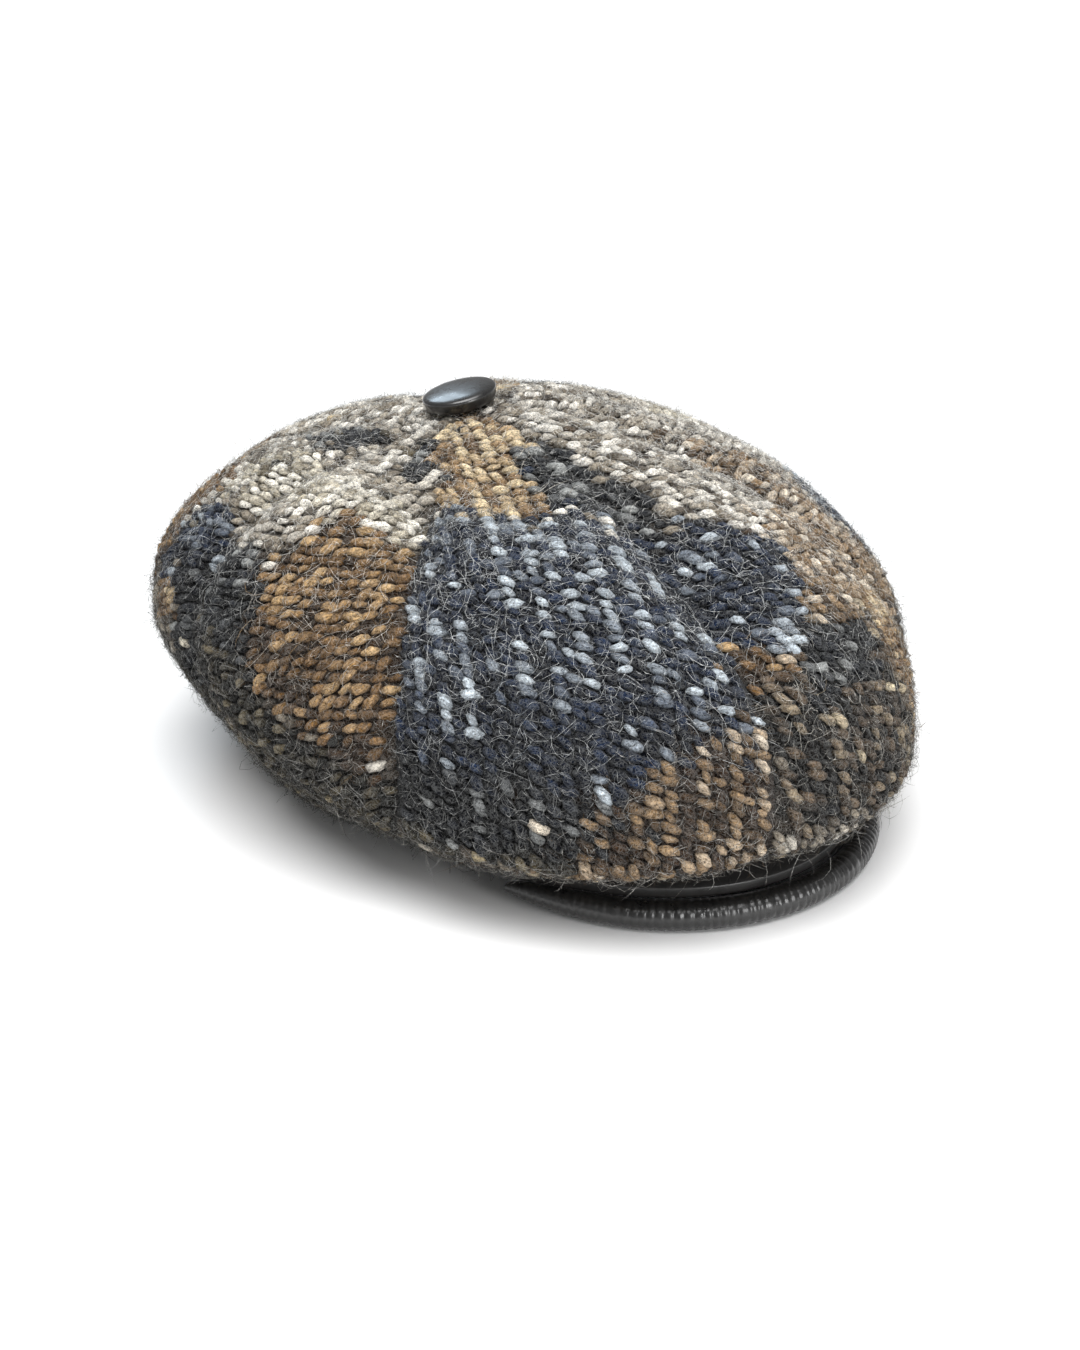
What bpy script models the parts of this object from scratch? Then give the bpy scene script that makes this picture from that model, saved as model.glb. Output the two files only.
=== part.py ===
"""Newsboy cap: eight tweed panels under a leather button, sewn to a headband over a leather peak.

Metres, +Z up. The cap lies on its headband at z = 0 with its front at -Y and the wearer's left at +X.
Azimuths are degrees round the head opening, 0 at the front and 90 at the wearer's left. Each piece is
modelled about the middle of the head opening, and the whole cap is then centred on the origin.
"""

from collections import namedtuple
from math import asin, atan2, cos, exp, hypot, pi, radians, sin, tan

import bmesh
import bpy
from mathutils import Matrix, Vector

# Head opening and headband
HEAD_LENGTH = 0.193
HEAD_WIDTH = 0.160
BAND_THICKNESS = 0.0025
BAND_HEIGHT = 0.032

# Crown
CROWN_LENGTH = 0.290
CROWN_WIDTH = 0.261
CROWN_HEIGHT = 0.128
CLOTH = 0.003
TOP_SQUARENESS = 2.04
TUCK_SQUARENESS = 1.40
WIDEST_SHARE = 0.70
APEX_RIGHT = 0.021
APEX_BACK = 0.022
TOP_LEAN = radians(13.0)
TOP_LEAN_AZIMUTH = radians(-104.0)
TOP_LEAN_REACH = 0.045
HEM_LIP = 0.004
HEM_SLOPE = radians(22.0)

# Each row is a seam between two panels: its azimuth, how far the crown reaches there as a share of
# the oval of CROWN_LENGTH by CROWN_WIDTH, its widest level as a share of CROWN_HEIGHT, and how many
# degrees the seam has drifted by the time it meets the headband, which starts part of the way down.
Seam = namedtuple("Seam", "azimuth reach widest drift")
SEAMS = (
    Seam(-55.0, 0.975, 0.245, 0.0),
    Seam(-5.0, 1.068, 0.256, -4.0),
    Seam(42.0, 0.940, 0.275, 0.0),
    Seam(88.0, 0.985, 0.357, 0.0),
    Seam(133.0, 0.970, 0.425, 0.0),
    Seam(178.0, 0.922, 0.441, 0.0),
    Seam(222.0, 1.050, 0.405, 0.0),
    Seam(263.0, 1.015, 0.490, 0.0),
)

DRIFT_START_SHARE = 0.4

# Seams are valleys and panels swell between them
SEAM_DEPTH = 0.0035
SEAM_WIDTH = 0.008
PANEL_SWELL = 0.0015
SWELL_END_SHARE = 0.90

# Each row is a dent in the cloth: its azimuth, its place from the button (0) to the hem (1), its
# spread in degrees and in the same share, and its depth as a share of DENT_DEPTH.
DENT_DEPTH = 0.008
Dent = namedtuple("Dent", "azimuth place spread length depth")
DENTS = (
    Dent(-32.0, 0.19, 18.0, 0.07, 0.875),
    Dent(-28.0, 0.31, 20.0, 0.05, -0.375),
    Dent(-72.0, 0.19, 16.0, 0.06, 0.50),
    Dent(-72.0, 0.29, 16.0, 0.05, -0.375),
    Dent(-55.0, 0.27, 7.0, 0.06, 0.50),
    Dent(-4.0, 0.33, 9.0, 0.09, 0.80),
    Dent(64.0, 0.45, 14.0, 0.08, 0.40),
    Dent(150.0, 0.42, 16.0, 0.09, 0.45),
    Dent(205.0, 0.55, 12.0, 0.08, 0.35),
)

# Peak
PEAK_LENGTH = 0.0435
PEAK_HALF_ARC = radians(64.5)
PEAK_ROUNDNESS = 0.42
PEAK_FLARE = 0.15
PEAK_THICKNESS = 0.0035
PEAK_DROP = 0.0008
PEAK_END_SHARE = 0.96

# Rolled edge of the peak
ROLL_RADIUS = 0.005
ROLL_HALF_ARC = radians(49.0)
ROLL_TIP_RADIUS = 0.0012
ROLL_END_CLEARANCE = radians(3.0)
PUCKER_PITCH = 0.0056
PUCKER_DEPTH = 0.0005

# Button
BUTTON_RADIUS = 0.013
BUTTON_HEIGHT = 0.006
BUTTON_CROWNING = 0.0016
BUTTON_EDGE = 0.0018
SHANK_RADIUS = 0.0035

# Clearances between sewn pieces
SEWN_GAP = 0.0003
SEAM_GAP = 0.0004
SHANK_CLEARANCE = 0.0005
BUTTON_CLEARANCE = 0.0006

# Mesh resolution
PANEL_COLUMNS = 8
PANEL_ROWS = 19
PEAK_COLUMNS = 44
PEAK_ROWS = 4
ROLL_SIDES = 10
BUTTON_SIDES = 32


def smooth_step(value):
    """0 below 0, 1 above 1 and a smooth rise between."""
    held = min(1.0, max(0.0, value))
    return held * held * (3.0 - 2.0 * held)


def wrapped(angle):
    """An angle brought between -pi and pi."""
    return (angle + pi) % (2.0 * pi) - pi


def round_the_crown(column, azimuth):
    """Smooth closed curve through one column of the seams' table (cubic Hermite)."""
    values = [getattr(seam, column) for seam in SEAMS]
    knots = [radians(seam.azimuth) for seam in SEAMS]
    count = len(knots)
    turned = (azimuth - knots[0]) % (2.0 * pi)
    starts = [(knot - knots[0]) % (2.0 * pi) for knot in knots]
    index = max(place for place in range(count) if starts[place] <= turned)

    def knot_at(place):
        return starts[place % count] + 2.0 * pi * (place // count)

    def slope_at(place):
        rise = values[(place + 1) % count] - values[(place - 1) % count]
        return rise / (knot_at(place + 1) - knot_at(place - 1))

    span = knot_at(index + 1) - knot_at(index)
    t = (turned - knot_at(index)) / span
    start, end = values[index], values[(index + 1) % count]
    ease = t * t * (3.0 - 2.0 * t)
    leave = slope_at(index) * span * t * (1.0 - t) ** 2
    arrive = slope_at(index + 1) * span * t * t * (1.0 - t)
    return start + (end - start) * ease + leave - arrive


def oval_radius(azimuth, half_length, half_width):
    """Distance from the middle of an oval to its edge."""
    return 1.0 / hypot(cos(azimuth) / half_length, sin(azimuth) / half_width)


def opening_radius(azimuth, beyond):
    """Radius of the oval that lies a distance beyond the headband's inner face."""
    return oval_radius(azimuth, HEAD_LENGTH / 2 + beyond, HEAD_WIDTH / 2 + beyond)


def crown_reach(azimuth):
    """Radius of the crown at its widest level."""
    oval = oval_radius(azimuth, CROWN_LENGTH / 2, CROWN_WIDTH / 2)
    return oval * round_the_crown("reach", azimuth)


def widest_level(azimuth):
    """Height of the crown's widest line."""
    return CROWN_HEIGHT * round_the_crown("widest", azimuth)


def hem_level(azimuth):
    """Height of the crown's hem: it rides over the peak at the front and lies at 0 elsewhere."""
    past_peak = abs(wrapped(azimuth)) - PEAK_HALF_ARC
    return peak_top() * (1.0 - smooth_step(past_peak / HEM_SLOPE))


def peak_top():
    """Height of the cloth's underside where it rides over the peak."""
    return peak_level(0.0) + PEAK_THICKNESS / 2 + SEWN_GAP


def peak_level(out):
    """Height of the middle of the peak's board, from its root (0) to its rolled edge (1)."""
    return ROLL_RADIUS + PEAK_THICKNESS / 2 + PEAK_DROP * (1.0 - out)


def crown_form(azimuth, place):
    """Point on the full crown, before seams and dents, from the button (0) to the hem (1)."""
    widest = widest_level(azimuth)
    if place <= WIDEST_SHARE:
        spread = sin(place / WIDEST_SHARE * pi / 2)
        fall = max(0.0, 1.0 - spread**TOP_SQUARENESS) ** (1.0 / TOP_SQUARENESS)
        z = widest + (CROWN_HEIGHT - widest) * fall
        radius = spread * crown_reach(azimuth)
        offset = 1.0 - spread
        leaning = fall
    else:
        tuck = sin((place - WIDEST_SHARE) / (1.0 - WIDEST_SHARE) * pi / 2)
        low = hem_level(azimuth)
        inner = opening_radius(azimuth, BAND_THICKNESS + SEWN_GAP + HEM_LIP)
        full = max(0.0, 1.0 - tuck**TUCK_SQUARENESS) ** (1.0 / TUCK_SQUARENESS)
        z = low + (widest - low) * (1.0 - tuck)
        radius = inner + (crown_reach(azimuth) - inner) * full
        offset = 0.0
        leaning = 0.0
    x = radius * sin(azimuth) - APEX_RIGHT * offset
    y = -radius * cos(azimuth) + APEX_BACK * offset
    right, back = x + APEX_RIGHT, y - APEX_BACK
    along = right * sin(TOP_LEAN_AZIMUTH) - back * cos(TOP_LEAN_AZIMUTH)
    lean = tan(TOP_LEAN) * along * leaning * exp(-(right**2 + back**2) / TOP_LEAN_REACH**2)
    return Vector((x, y, z - lean))


def crown_radius(azimuth, place):
    """Distance of a point on the crown from the crown's own middle line."""
    if place <= WIDEST_SHARE:
        return sin(place / WIDEST_SHARE * pi / 2) * crown_reach(azimuth)
    return hypot(*crown_form(azimuth, place).xy)


def crown_normal(azimuth, place):
    """Outward direction of the full crown."""
    step = 0.004
    held = min(1.0 - step, max(step, place))
    round_way = crown_form(azimuth + step, held) - crown_form(azimuth - step, held)
    down_way = crown_form(azimuth, held + step) - crown_form(azimuth, held - step)
    return down_way.cross(round_way).normalized()


def seam_azimuth(index, place):
    """Azimuth of a seam, with its drift towards the hem."""
    seam = SEAMS[index % len(SEAMS)]
    turns = index // len(SEAMS)
    drift = seam.drift * smooth_step((place - DRIFT_START_SHARE) / (1.0 - DRIFT_START_SHARE))
    return radians(seam.azimuth + drift) + 2.0 * pi * turns


def dent_depth(azimuth, place):
    """How far the dents push the cloth in at one point."""
    depth = 0.0
    for dent in DENTS:
        across = wrapped(azimuth - radians(dent.azimuth)) / radians(dent.spread)
        down = (place - dent.place) / dent.length
        depth += DENT_DEPTH * dent.depth * exp(-(across**2) - down**2)
    return depth


def panel_point(index, across, place):
    """Point on the outer face of a panel: across runs 0 to 1 from its seam to the next one."""
    radius = max(crown_radius(seam_azimuth(index, place), place), SHANK_RADIUS)
    inset = SEAM_GAP / 2 / radius
    start = seam_azimuth(index, place) + inset
    end = seam_azimuth(index + 1, place) - inset
    azimuth = start + (end - start) * across
    half_width = (end - start) / 2 * radius
    from_seam = min(across, 1.0 - across) * 2.0 * half_width
    narrow = smooth_step(half_width / (3.0 * SEAM_WIDTH))
    level = sin(pi * min(1.0, place / SWELL_END_SHARE))
    valley = SEAM_DEPTH * narrow * exp(-((from_seam / SEAM_WIDTH) ** 2)) * level
    swell = PANEL_SWELL * 4.0 * across * (1.0 - across) * level
    sunk = valley + dent_depth(azimuth, place) - swell
    return crown_form(azimuth, place) - crown_normal(azimuth, place) * sunk


def hem_point(index, across):
    """Point on the edge of the cloth beside the headband, level with the end of the panel."""
    outer = panel_point(index, across, 1.0)
    azimuth = atan2(outer.x, -outer.y)
    radius = opening_radius(azimuth, BAND_THICKNESS + SEWN_GAP)
    return Vector((radius * sin(azimuth), -radius * cos(azimuth), outer.z))


def panel_spacing(step):
    """Columns of a panel, closer together near its seams."""
    return (1.0 - cos(pi * step)) / 2.0


def tip_place(azimuth):
    """Place where a panel's point stops, at an even distance from the button's shank."""
    reach = crown_reach(azimuth)
    span = hypot(reach * sin(azimuth) + APEX_RIGHT, reach * cos(azimuth) + APEX_BACK)
    return WIDEST_SHARE * 2.0 / pi * asin((SHANK_RADIUS + SHANK_CLEARANCE) / span)


def make_material(name, colour, roughness):
    """A plain material with one colour."""
    material = bpy.data.materials.new(name)
    material.use_nodes = True
    shader = material.node_tree.nodes["Principled BSDF"]
    shader.inputs["Base Color"].default_value = (*colour, 1.0)
    shader.inputs["Roughness"].default_value = roughness
    shader.inputs["Metallic"].default_value = 0.0
    return material


def make_object(name, shape, material, collection):
    """A named object from a bmesh, shaded smooth across its gentle angles."""
    mesh = bpy.data.meshes.new(name)
    shape.to_mesh(mesh)
    shape.free()
    mesh.materials.append(material)
    mesh.shade_smooth()
    mesh.set_sharp_from_angle(angle=radians(40.0))
    item = bpy.data.objects.new(name, mesh)
    collection.objects.link(item)
    return item


def thicken(item, thickness, offset):
    """Give an open surface its wall."""
    wall = item.modifiers.new("wall", "SOLIDIFY")
    wall.thickness = thickness
    wall.offset = offset


def grid(columns, rows, point):
    """A grid whose corners are moved to point(across, down), both 0 to 1, facing outward."""
    shape = bmesh.new()
    bmesh.ops.create_grid(shape, x_segments=columns, y_segments=rows, size=0.5)
    for vertex in shape.verts:
        vertex.co = point(0.5 - vertex.co.x, vertex.co.y + 0.5)
    return shape


def make_panel(index, material, collection):
    """One panel of the crown: a long leaf of cloth from the button to the headband."""
    start, end = seam_azimuth(index, 0.0), seam_azimuth(index + 1, 0.0)

    def point(across, down):
        spaced = panel_spacing(across)
        tip = tip_place(start + (end - start) * spaced)
        rows_down = down * PANEL_ROWS
        if rows_down > PANEL_ROWS - 0.5:
            return hem_point(index, spaced)
        place = tip + (1.0 - tip) * rows_down / (PANEL_ROWS - 1)
        return panel_point(index, spaced, min(1.0, place))

    shape = grid(PANEL_COLUMNS, PANEL_ROWS, point)
    item = make_object(f"crown_panel_{index + 1}", shape, material, collection)
    thicken(item, CLOTH, -1.0)


def band_azimuths():
    """Corners of the headband, each opposite a corner of the crown's hem."""
    azimuths = []
    for index in range(len(SEAMS)):
        for step in range(PANEL_COLUMNS + 1):
            edge = hem_point(index, panel_spacing(step / PANEL_COLUMNS))
            azimuths.append(atan2(edge.x, -edge.y) % (2.0 * pi))
    return sorted(azimuths)


def make_headband(material, collection):
    """The upright band inside the opening, which the crown and the peak are sewn to."""
    shape = bmesh.new()
    rings = []
    for z in (0.0, BAND_HEIGHT):
        ring = []
        for azimuth in band_azimuths():
            radius = opening_radius(azimuth, BAND_THICKNESS)
            ring.append(shape.verts.new((radius * sin(azimuth), -radius * cos(azimuth), z)))
        rings.append(ring)
    low, high = rings
    for place in range(len(low)):
        after = (place + 1) % len(low)
        shape.faces.new((low[place], low[after], high[after], high[place]))
    item = make_object("headband", shape, material, collection)
    thicken(item, BAND_THICKNESS, -1.0)


def peak_width(azimuth):
    """Share of the peak's full length at one azimuth."""
    return max(0.0, cos(azimuth / PEAK_HALF_ARC * pi / 2)) ** PEAK_ROUNDNESS


def peak_outline(azimuth):
    """Outer edge of the peak, seen from above."""
    root = opening_radius(azimuth, BAND_THICKNESS)
    width = peak_width(azimuth)
    x = root * sin(azimuth) * (1.0 + PEAK_FLARE * width)
    y = -root * cos(azimuth) - PEAK_LENGTH * width
    return Vector((x, y, 0.0))


def peak_inward(azimuth):
    """Direction square to the peak's outer edge, towards the head."""
    step = 0.002
    along = peak_outline(azimuth + step) - peak_outline(azimuth - step)
    return Vector((-along.y, along.x, 0.0)).normalized()


def roll_radius(azimuth):
    """Radius of the rolled edge, thin at its two ends."""
    share = min(1.0, abs(azimuth) / ROLL_HALF_ARC)
    return ROLL_TIP_RADIUS + (ROLL_RADIUS - ROLL_TIP_RADIUS) * (1.0 - share**5) ** 0.6


def roll_middle(azimuth):
    """Middle line of the rolled edge, lying on the surface that the cap rests on."""
    radius = roll_radius(azimuth)
    inset = peak_inward(azimuth) * radius
    low_share = smooth_step((ROLL_HALF_ARC - abs(azimuth)) / (ROLL_HALF_ARC * 0.5))
    z = peak_level(1.0) + (ROLL_RADIUS - peak_level(1.0)) * low_share
    return peak_outline(azimuth) + inset + Vector((0.0, 0.0, z))


def board_edge(azimuth):
    """Outer edge of the peak's board, clear of the rolled edge and full again past its ends."""
    past_roll = abs(azimuth) - ROLL_HALF_ARC - ROLL_END_CLEARANCE
    clear = 2.0 * roll_radius(azimuth) + SEWN_GAP
    kept = 1.0 - smooth_step(past_roll / ROLL_END_CLEARANCE)
    return peak_outline(azimuth) + peak_inward(azimuth) * clear * kept


def make_peak(material, collection):
    """The leather-covered board, from the headband out to the rolled edge."""

    def point(across, out):
        azimuth = PEAK_END_SHARE * PEAK_HALF_ARC * (2.0 * across - 1.0)
        radius = opening_radius(azimuth, BAND_THICKNESS + SEWN_GAP)
        root = Vector((radius * sin(azimuth), -radius * cos(azimuth), 0.0))
        spot = root.lerp(board_edge(azimuth), 1.0 - out)
        spot.z = peak_level(1.0 - out)
        return spot

    item = make_object("peak", grid(PEAK_COLUMNS, PEAK_ROWS, point), material, collection)
    thicken(item, PEAK_THICKNESS, 0.0)


def roll_length():
    """Length of the rolled edge along its middle line."""
    steps = 200
    spots = [roll_middle(ROLL_HALF_ARC * (2.0 * step / steps - 1.0)) for step in range(steps + 1)]
    return sum((after - before).length for before, after in zip(spots, spots[1:]))


def make_peak_edge(material, collection):
    """The gathered leather roll along the front of the peak, with a pucker every second ring."""
    rings = 2 * round(roll_length() / PUCKER_PITCH)
    shape = bmesh.new()
    loops = []
    for ring in range(rings + 1):
        azimuth = ROLL_HALF_ARC * (2.0 * ring / rings - 1.0)
        middle = roll_middle(azimuth)
        inward = peak_inward(azimuth)
        pucker = PUCKER_DEPTH * (ring % 2) * roll_radius(azimuth) / ROLL_RADIUS
        radius = roll_radius(azimuth) - pucker
        loop = []
        for side in range(ROLL_SIDES):
            turn = 2.0 * pi * side / ROLL_SIDES
            reach = inward * cos(turn) + Vector((0.0, 0.0, sin(turn)))
            loop.append(shape.verts.new(middle + reach * radius))
        loops.append(loop)
    for before, after in zip(loops, loops[1:]):
        for side in range(ROLL_SIDES):
            other = (side + 1) % ROLL_SIDES
            shape.faces.new((before[side], before[other], after[other], after[side]))
    shape.faces.new(loops[0])
    shape.faces.new(loops[-1])
    bmesh.ops.recalc_face_normals(shape, faces=shape.faces)
    make_object("peak_edge", shape, material, collection)


def button_profile():
    """Half section of the button, from the top of its dome down its side to the end of its shank."""
    points = [(0.0, BUTTON_HEIGHT)]
    shoulder = BUTTON_RADIUS - BUTTON_EDGE
    rim_level = BUTTON_HEIGHT - BUTTON_CROWNING
    dome_steps = 3
    for step in range(1, dome_steps + 1):
        share = step / dome_steps
        points.append((shoulder * share, BUTTON_HEIGHT - BUTTON_CROWNING * share**2))
    for turn in (radians(45.0), radians(90.0)):
        spot_z = rim_level - BUTTON_EDGE * (1.0 - cos(turn))
        points.append((shoulder + BUTTON_EDGE * sin(turn), spot_z))
    points.append((BUTTON_RADIUS, BUTTON_EDGE / 2))
    points.append((shoulder, 0.0))
    points.append((SHANK_RADIUS, 0.0))
    points.append((SHANK_RADIUS, -CLOTH))
    points.append((0.0, -CLOTH))
    return points


def make_button(material, collection):
    """The covered button, a turned shape that leans with the top of the crown."""
    shape = bmesh.new()
    corners = [shape.verts.new((radius, 0.0, z)) for radius, z in button_profile()]
    for before, after in zip(corners, corners[1:]):
        shape.edges.new((before, after))
    item = make_object("button", shape, material, collection)
    turned = item.modifiers.new("turned", "SCREW")
    turned.steps = BUTTON_SIDES
    turned.render_steps = BUTTON_SIDES
    turned.use_merge_vertices = True
    turned.merge_threshold = 0.00001
    up = Vector((sin(TOP_LEAN) * sin(TOP_LEAN_AZIMUTH), -sin(TOP_LEAN) * cos(TOP_LEAN_AZIMUTH), 0.0))
    up.z = cos(TOP_LEAN)
    seat = Vector((-APEX_RIGHT, APEX_BACK, CROWN_HEIGHT)) + up * BUTTON_CLEARANCE
    lean = Vector((0.0, 0.0, 1.0)).rotation_difference(up).to_matrix().to_4x4()
    item.matrix_world = Matrix.Translation(seat) @ lean


def clear_scene():
    """Remove what the scene starts with."""
    for item in list(bpy.data.objects):
        bpy.data.objects.remove(item, do_unlink=True)


def centre_on_origin(collection):
    """Stand the cap on z = 0 with the middle of its box over the origin."""
    graph = bpy.context.evaluated_depsgraph_get()
    corners = []
    for item in collection.objects:
        shown = item.evaluated_get(graph)
        mesh = shown.to_mesh()
        corners.extend(item.matrix_world @ vertex.co for vertex in mesh.vertices)
        shown.to_mesh_clear()
    low = Vector(min(corner[axis] for corner in corners) for axis in range(3))
    high = Vector(max(corner[axis] for corner in corners) for axis in range(3))
    middle = (low + high) / 2
    for item in collection.objects:
        item.location -= Vector((middle.x, middle.y, low.z))


def build_cap():
    """Every piece of the cap, in one collection."""
    collection = bpy.data.collections.new("newsboy_cap")
    bpy.context.scene.collection.children.link(collection)
    tweed = make_material("wool_tweed", (0.16, 0.13, 0.10), 0.95)
    band_cloth = make_material("band_cloth", (0.03, 0.03, 0.03), 0.90)
    board_leather = make_material("peak_leather", (0.012, 0.012, 0.014), 0.42)
    roll_leather = make_material("rolled_leather", (0.010, 0.010, 0.012), 0.38)
    button_leather = make_material("button_leather", (0.012, 0.012, 0.014), 0.35)
    for index in range(len(SEAMS)):
        make_panel(index, tweed, collection)
    make_headband(band_cloth, collection)
    make_peak(board_leather, collection)
    make_peak_edge(roll_leather, collection)
    make_button(button_leather, collection)
    bpy.context.view_layer.update()
    centre_on_origin(collection)


clear_scene()
build_cap()
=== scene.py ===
from collections import namedtuple

import bmesh
import bpy
import numpy as np
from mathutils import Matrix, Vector


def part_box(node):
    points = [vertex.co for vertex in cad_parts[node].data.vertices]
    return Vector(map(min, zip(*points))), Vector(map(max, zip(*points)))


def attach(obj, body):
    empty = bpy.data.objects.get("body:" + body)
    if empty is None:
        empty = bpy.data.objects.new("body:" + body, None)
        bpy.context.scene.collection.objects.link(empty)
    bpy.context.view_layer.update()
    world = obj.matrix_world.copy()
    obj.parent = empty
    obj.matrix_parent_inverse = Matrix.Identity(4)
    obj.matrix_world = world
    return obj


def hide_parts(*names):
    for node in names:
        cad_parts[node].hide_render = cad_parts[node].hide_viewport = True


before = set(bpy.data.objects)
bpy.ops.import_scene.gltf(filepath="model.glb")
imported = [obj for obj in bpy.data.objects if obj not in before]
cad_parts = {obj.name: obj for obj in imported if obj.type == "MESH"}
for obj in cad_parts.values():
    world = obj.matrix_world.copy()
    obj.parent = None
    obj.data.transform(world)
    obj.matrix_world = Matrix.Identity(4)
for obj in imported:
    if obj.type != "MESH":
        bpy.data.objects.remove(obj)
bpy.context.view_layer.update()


# Crown panels: the ground cloth
# Eight leaves of thick, loosely woven wool tweed run from the button to the headband, sewn edge to edge.
# The seams pull the cloth into shallow valleys, and it slumps into soft dents between them. This ground
# cloth is the backing that the fat yarns and the loose hairs of the next two sections stand on.

Seam = namedtuple("Seam", "azimuth reach widest drift")
SEAMS = (
    Seam(-55.0, 0.975, 0.245, 0.0),
    Seam(-5.0, 1.068, 0.256, -4.0),
    Seam(42.0, 0.940, 0.275, 0.0),
    Seam(88.0, 0.985, 0.357, 0.0),
    Seam(133.0, 0.970, 0.425, 0.0),
    Seam(178.0, 0.922, 0.441, 0.0),
    Seam(222.0, 1.050, 0.405, 0.0),
    Seam(263.0, 1.015, 0.490, 0.0),
)
Dent = namedtuple("Dent", "azimuth place spread length depth")
DENTS = (
    Dent(-32.0, 0.19, 18.0, 0.070, 0.0070),
    Dent(-28.0, 0.31, 20.0, 0.050, -0.0030),
    Dent(-72.0, 0.19, 16.0, 0.060, 0.0040),
    Dent(-72.0, 0.29, 16.0, 0.050, -0.0030),
    Dent(-55.0, 0.27, 7.0, 0.060, 0.0040),
    Dent(-4.0, 0.33, 9.0, 0.090, 0.0064),
    Dent(64.0, 0.45, 14.0, 0.080, 0.0032),
    Dent(150.0, 0.42, 16.0, 0.090, 0.0036),
    Dent(205.0, 0.55, 12.0, 0.080, 0.0028),
)
PANELS = [f"crown_panel_{number + 1}" for number in range(len(SEAMS))]
CROWN_HEIGHT = 0.128
TOP_SQUARENESS = 2.04
TUCK_SQUARENESS = 1.40
WIDEST_SHARE = 0.70
SWELL_END_SHARE = 0.90
DRIFT_START_SHARE = 0.40
TOP_LEAN = np.radians(13.0)
TOP_LEAN_AZIMUTH = np.radians(-104.0)
TOP_LEAN_REACH = 0.045
APEX_RIGHT = 0.021
APEX_BACK = 0.022
HEM_LIP = 0.0043
HEM_SLOPE = np.radians(22.0)
PEAK_HALF_ARC = np.radians(64.5)
SEAM_DEPTH = 0.0035
SEAM_WIDTH = 0.008
PANEL_SWELL = 0.0015
SEAM_OVERLAP = 0.0006
CLOTH_SINK = 0.0012
CLOTH_THICKNESS = 0.0012
TIP_SHARE = 0.020
NAP_SINK = 0.0004
UNDERSIDE_SINK = 0.0016
UNDERSIDE_START = 0.56
UNDERSIDE_BLEND = 0.10
HEM_CLEARANCE = 0.0003
LEAST_RADIUS = 0.0035
LENGTH_SAMPLES = 160
RIB_SAMPLES = 9

band_low, band_high = (np.array(corner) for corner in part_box("headband"))
opening_middle = (band_low + band_high) / 2
opening_half = (band_high - band_low) / 2
panel_boxes = [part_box(panel) for panel in PANELS]
crown_low = np.min([box[0] for box in panel_boxes], axis=0)
crown_high = np.max([box[1] for box in panel_boxes], axis=0)
crown_half = (crown_high - crown_low) / 2
hem_over_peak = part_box("peak")[1][2] + HEM_CLEARANCE


def smooth_step(value):
    """0 below 0, 1 above 1 and a smooth rise between."""
    held = np.clip(value, 0.0, 1.0)
    return held * held * (3.0 - 2.0 * held)


def around(column, azimuth):
    """Smooth closed curve through one column of the seams' table."""
    values = np.array([getattr(seam, column) for seam in SEAMS])
    knots = np.radians([seam.azimuth for seam in SEAMS])
    ends = np.append(knots, knots[0] + 2 * np.pi)
    spans = (np.roll(knots, -1) - np.roll(knots, 1)) % (2 * np.pi)
    slopes = (np.roll(values, -1) - np.roll(values, 1)) / spans
    turned = knots[0] + (azimuth - knots[0]) % (2 * np.pi)
    index = np.clip(np.searchsorted(ends, turned, side="right") - 1, 0, len(SEAMS) - 1)
    after = (index + 1) % len(SEAMS)
    span = ends[index + 1] - ends[index]
    t = (turned - ends[index]) / span
    ease = t * t * (3 - 2 * t)
    leave = slopes[index] * span * t * (1 - t) ** 2
    arrive = slopes[after] * span * t * t * (1 - t)
    return values[index] + (values[after] - values[index]) * ease + leave - arrive


def oval(azimuth, half_length, half_width):
    """Distance from the middle of an oval to its edge."""
    return 1.0 / np.hypot(np.cos(azimuth) / half_length, np.sin(azimuth) / half_width)


def crown_form(azimuth, place):
    """Point on the full crown from the button (0) to the hem (1), about the middle of the opening."""
    widest = CROWN_HEIGHT * around("widest", azimuth)
    reach = oval(azimuth, crown_half[1], crown_half[0]) * around("reach", azimuth)
    spread = np.sin(np.minimum(place / WIDEST_SHARE, 1.0) * np.pi / 2)
    fall = np.maximum(0.0, 1.0 - spread**TOP_SQUARENESS) ** (1.0 / TOP_SQUARENESS)
    tuck = np.sin(np.clip((place - WIDEST_SHARE) / (1.0 - WIDEST_SHARE), 0.0, 1.0) * np.pi / 2)
    full = np.maximum(0.0, 1.0 - tuck**TUCK_SQUARENESS) ** (1.0 / TUCK_SQUARENESS)
    turned = np.abs((azimuth + np.pi) % (2 * np.pi) - np.pi)
    low = hem_over_peak * (1.0 - smooth_step((turned - PEAK_HALF_ARC) / HEM_SLOPE))
    inner = oval(azimuth, opening_half[1] + HEM_LIP, opening_half[0] + HEM_LIP)
    above = place <= WIDEST_SHARE
    radius = np.where(above, spread * reach, inner + (reach - inner) * full)
    z = np.where(above, widest + (CROWN_HEIGHT - widest) * fall, low + (widest - low) * (1.0 - tuck))
    offset = np.where(above, 1.0 - spread, 0.0)
    x = radius * np.sin(azimuth) - APEX_RIGHT * offset
    y = -radius * np.cos(azimuth) + APEX_BACK * offset
    right = x + APEX_RIGHT
    back = y - APEX_BACK
    along = right * np.sin(TOP_LEAN_AZIMUTH) - back * np.cos(TOP_LEAN_AZIMUTH)
    faded = np.where(above, fall, 0.0) * np.exp(-(right**2 + back**2) / TOP_LEAN_REACH**2)
    return np.stack([x, y, z - np.tan(TOP_LEAN) * along * faded], axis=-1)


def unit(vectors):
    """Vectors brought to length 1."""
    return vectors / np.maximum(np.linalg.norm(vectors, axis=-1, keepdims=True), 1e-12)


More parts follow.
